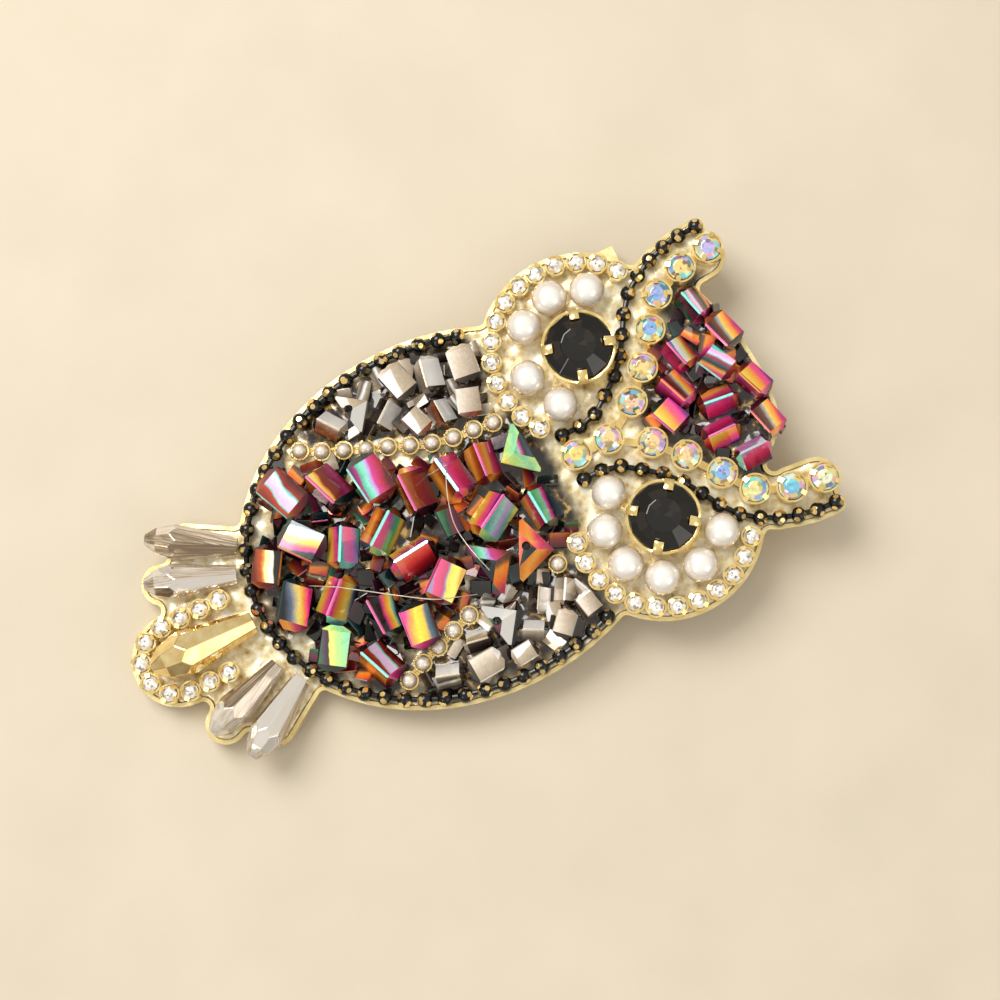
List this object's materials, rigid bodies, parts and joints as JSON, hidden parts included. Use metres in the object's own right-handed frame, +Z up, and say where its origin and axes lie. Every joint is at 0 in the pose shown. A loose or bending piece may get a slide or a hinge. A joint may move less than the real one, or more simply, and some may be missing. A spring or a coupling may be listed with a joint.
{
  "type": "beaded owl brooch",
  "caption": "Owl-shaped brooch lying on its pin: a rimmed metal tray set with cut glass beads, rhinestone eye rings, pearls, ball chain and teardrop tail drops.",
  "frame": {"origin": "centre of the footprint, on the floor that the brooch lies on", "axes": "the head is towards +Y, the face looks up along +Z, +X is the side of the right eye as the viewer sees it"},
  "size_m": [0.0414, 0.0762, 0.0105],
  "materials": {
    "gold_plate": "polished gold plating on a cast alloy tray",
    "glue_bed": "clear glue over gold foil",
    "pin_metal": "polished gold plating",
    "gold_setting": "polished gold plating",
    "black_stone": "opaque black cut glass",
    "pearl": "pearl lacquer",
    "seed_pearl": "pearl lacquer",
    "clear_stone": "cut clear glass, foiled at the back",
    "rainbow_stone": "cut clear glass with a rainbow coating",
    "black_enamel": "black lacquer with small bare gold facets",
    "belly_glass": "cut glass with a red, orange and green metallic coating",
    "forehead_glass": "cut glass with a raspberry metallic coating",
    "silver_glass": "cut glass with a silver grey metallic coating",
    "beak_glass": "cut glass with a mint and yellow metallic coating",
    "gold_glass": "cut glass with a gold coating",
    "champagne_glass": "cut champagne glass"
  },
  "bodies": {
    "root": {"backplate": "gold_plate", "resin_bed": "glue_bed", "pin_back": "pin_metal", "eye_setting_left": "gold_setting", "eye_stone_left": "black_stone", "eye_setting_right": "gold_setting", "eye_stone_right": "black_stone", "pearl_left_1": "pearl", "pearl_left_2": "pearl", "pearl_left_3": "pearl", "pearl_left_4": "pearl", "pearl_left_5": "pearl", "pearl_right_1": "pearl", "pearl_right_2": "pearl", "pearl_right_3": "pearl", "pearl_right_4": "pearl", "pearl_right_5": "pearl", "pearl_right_6": "pearl", "ring_cups_left": "gold_setting", "ring_stones_left": "clear_stone", "ring_cups_right": "gold_setting", "ring_stones_right": "clear_stone", "brow_cups": "gold_setting", "brow_stone_1": "rainbow_stone", "brow_stone_2": "rainbow_stone", "brow_stone_3": "rainbow_stone", "brow_stone_4": "rainbow_stone", "brow_stone_5": "rainbow_stone", "brow_stone_6": "rainbow_stone", "brow_stone_7": "rainbow_stone", "brow_stone_8": "rainbow_stone", "brow_stone_9": "rainbow_stone", "brow_stone_10": "rainbow_stone", "brow_stone_11": "rainbow_stone", "brow_stone_12": "rainbow_stone", "brow_stone_13": "rainbow_stone", "brow_stone_14": "rainbow_stone", "brow_balls_left": "black_enamel", "brow_balls_right": "black_enamel", "body_balls": "black_enamel", "seed_cups_left": "gold_setting", "seed_cups_right": "gold_setting", "seed_pearls_left": "seed_pearl", "seed_pearls_right": "seed_pearl", "belly_beads": "belly_glass", "wing_beads_left": "silver_glass", "wing_beads_right": "silver_glass", "forehead_beads": "forehead_glass", "beak": "beak_glass", "gold_drop": "gold_glass", "tail_drop_1": "champagne_glass", "tail_drop_2": "champagne_glass", "tail_drop_3": "champagne_glass", "tail_drop_4": "champagne_glass", "tail_cups": "gold_setting", "tail_stones": "clear_stone"}
  },
  "joints": []
}
